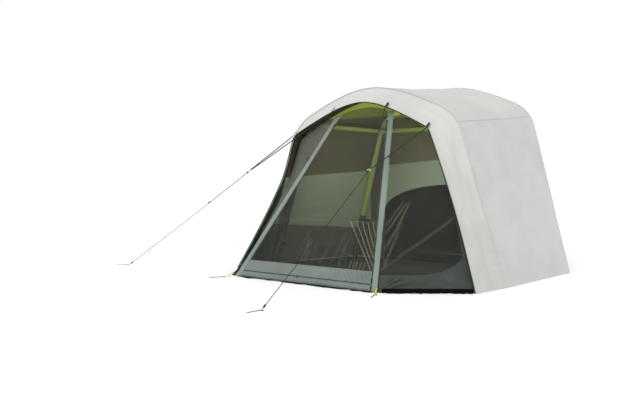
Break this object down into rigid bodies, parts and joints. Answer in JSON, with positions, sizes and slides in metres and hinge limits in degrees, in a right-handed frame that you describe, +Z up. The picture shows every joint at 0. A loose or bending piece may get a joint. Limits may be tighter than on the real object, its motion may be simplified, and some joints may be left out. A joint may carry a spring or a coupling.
{
  "type": "screen house",
  "caption": "Air-beam screen house: tunnel room with a sewn floor, a three-sided insect-mesh bay, drop-down mesh front, rear door, zips, toggles and Y-shaped guy lines.",
  "frame": {"origin": "middle of the shelter's footprint, on the ground", "axes": "+X to the right seen from the front, +Y from the mesh front to the rear wall, +Z up"},
  "size_m": [4.9734, 4.6225, 2.3795],
  "materials": {
    "black_moulding": "moulded nylon, satin",
    "beam_sleeve": "lime ripstop sleeve over an air bladder",
    "grey_green_cloth": "coated polyester, matte",
    "insect_mesh": "dark knitted no-see-um mesh",
    "lime_webbing": "lime woven webbing",
    "peg_steel": "plated steel wire",
    "fly_cloth": "coated polyester, matte",
    "wall_cloth": "coated polyester, matte",
    "dark_cloth": "dark polyester, matte",
    "black_webbing": "black woven webbing",
    "guy_cord": "braided cord"
  },
  "bodies": {
    "shelter": {"floor_cloth": "dark_cloth", "front_air_beam": "beam_sleeve", "front_beam_valve": "black_moulding", "front_ground_flap": "black_webbing", "front_sill": "grey_green_cloth", "hood_crown": "fly_cloth", "left_band": "grey_green_cloth", "left_corner_loop": "lime_webbing", "left_corner_panel": "grey_green_cloth", "left_corner_peg": "peg_steel", "left_corner_ring": "lime_webbing", "left_ground_flap": "black_webbing", "left_guy_line": "guy_cord", "left_guy_peg": "peg_steel", "left_guy_ring": "lime_webbing", "left_guy_shoulder_leg": "black_webbing", "left_guy_upper_leg": "black_webbing", "left_hood": "fly_cloth", "left_shoulder_tab": "black_webbing", "left_side_mesh": "insect_mesh", "left_spacer_beam": "beam_sleeve", "left_upper_tab": "black_webbing", "left_wall": "wall_cloth", "rear_air_beam": "beam_sleeve", "rear_beam_valve": "black_moulding", "rear_wall": "grey_green_cloth", "right_band": "grey_green_cloth", "right_corner_loop": "lime_webbing", "right_corner_panel": "grey_green_cloth", "right_corner_peg": "peg_steel", "right_corner_ring": "lime_webbing", "right_ground_flap": "black_webbing", "right_guy_line": "guy_cord", "right_guy_peg": "peg_steel", "right_guy_ring": "lime_webbing", "right_guy_shoulder_leg": "black_webbing", "right_guy_upper_leg": "black_webbing", "right_hood": "fly_cloth", "right_shoulder_tab": "black_webbing", "right_side_mesh": "insect_mesh", "right_spacer_beam": "beam_sleeve", "right_upper_tab": "black_webbing", "right_wall": "wall_cloth", "roof": "fly_cloth"},
    "front_panel": {"front_mesh_panel": "insect_mesh"},
    "rear_door": {"rear_door": "dark_cloth"},
    "front_valve_cap": {"front_beam_valve_cap": "black_moulding"},
    "rear_valve_cap": {"rear_beam_valve_cap": "black_moulding"},
    "left_zip_slider": {"left_zip_slider": "black_moulding"},
    "left_zip_pull": {"left_zip_pull": "black_moulding"},
    "right_zip_slider": {"right_zip_slider": "black_moulding"},
    "right_zip_pull": {"right_zip_pull": "black_moulding"},
    "sill_zip_slider": {"sill_zip_slider": "black_moulding"},
    "sill_zip_pull": {"sill_zip_pull": "black_moulding"},
    "left_upper_toggle": {"left_upper_toggle": "black_moulding"},
    "left_lower_toggle": {"left_lower_toggle": "black_moulding"},
    "left_tensioner": {"left_tensioner": "black_moulding"},
    "right_upper_toggle": {"right_upper_toggle": "black_moulding"},
    "right_lower_toggle": {"right_lower_toggle": "black_moulding"},
    "right_tensioner": {"right_tensioner": "black_moulding"}
  },
  "joints": [
    {"name": "front_panel_drop", "type": "hinge", "parent": "shelter", "child": "front_panel", "pos_m": [0, -1.29935, 0.07121], "axis": [-1, 0, 0], "range_deg": [0, 60]},
    {"name": "rear_door_swing", "type": "hinge", "parent": "shelter", "child": "rear_door", "pos_m": [-1.092, 1.63, 0.5], "axis": [0, 0, 1], "range_deg": [0, 100]},
    {"name": "front_valve_cap_flip", "type": "hinge", "parent": "shelter", "child": "front_valve_cap", "pos_m": [-1.5317, -0.03, 0.30617], "axis": [0, -1, 0], "range_deg": [0, 150]},
    {"name": "rear_valve_cap_flip", "type": "hinge", "parent": "shelter", "child": "rear_valve_cap", "pos_m": [-1.47199, 1.55, 0.31052], "axis": [0, -1, 0], "range_deg": [0, 150]},
    {"name": "left_zip_run", "type": "slide", "parent": "shelter", "child": "left_zip_slider", "axis": [-0.2658, -0.478, -0.8372], "range_m": [0, 1.9]},
    {"name": "left_zip_pull_lift", "type": "hinge", "parent": "left_zip_slider", "child": "left_zip_pull", "pos_m": [-0.39182, -0.33535, 1.787], "axis": [-0.964, 0.1318, 0.2308], "range_deg": [0, 120]},
    {"name": "right_zip_run", "type": "slide", "parent": "shelter", "child": "right_zip_slider", "axis": [0.2658, -0.478, -0.8372], "range_m": [0, 1.9]},
    {"name": "right_zip_pull_lift", "type": "hinge", "parent": "right_zip_slider", "child": "right_zip_pull", "pos_m": [0.39182, -0.33535, 1.787], "axis": [-0.964, -0.1318, -0.2308], "range_deg": [0, 120]},
    {"name": "sill_zip_run", "type": "slide", "parent": "shelter", "child": "sill_zip_slider", "axis": [1, 0, 0], "range_m": [-0.78, 0.91]},
    {"name": "sill_zip_pull_lift", "type": "hinge", "parent": "sill_zip_slider", "child": "sill_zip_pull", "pos_m": [-0.067, -1.31107, 0.07791], "axis": [-1, 0, 0], "range_deg": [0, 120]},
    {"name": "left_upper_toggle_turn", "type": "hinge", "parent": "shelter", "child": "left_upper_toggle", "pos_m": [-0.61316, -0.57376, 1.37039], "axis": [0, -0.8684, 0.4958], "range_deg": [-90, 90]},
    {"name": "left_lower_toggle_turn", "type": "hinge", "parent": "shelter", "child": "left_lower_toggle", "pos_m": [-0.87121, -1.03783, 0.55753], "axis": [0, -0.8684, 0.4958], "range_deg": [-90, 90]},
    {"name": "right_upper_toggle_turn", "type": "hinge", "parent": "shelter", "child": "right_upper_toggle", "pos_m": [0.61316, -0.57376, 1.37039], "axis": [0, -0.8684, 0.4958], "range_deg": [-90, 90]},
    {"name": "right_lower_toggle_turn", "type": "hinge", "parent": "shelter", "child": "right_lower_toggle", "pos_m": [0.87121, -1.03783, 0.55753], "axis": [0, -0.8684, 0.4958], "range_deg": [-90, 90]},
    {"name": "right_tensioner_run", "type": "slide", "parent": "shelter", "child": "right_tensioner", "axis": [0.0728, -0.8024, -0.5924], "range_m": [-0.2, 0.6]},
    {"name": "left_tensioner_run", "type": "slide", "parent": "shelter", "child": "left_tensioner", "axis": [-0.7128, -0.3761, -0.592], "range_m": [-0.2, 0.6]}
  ]
}
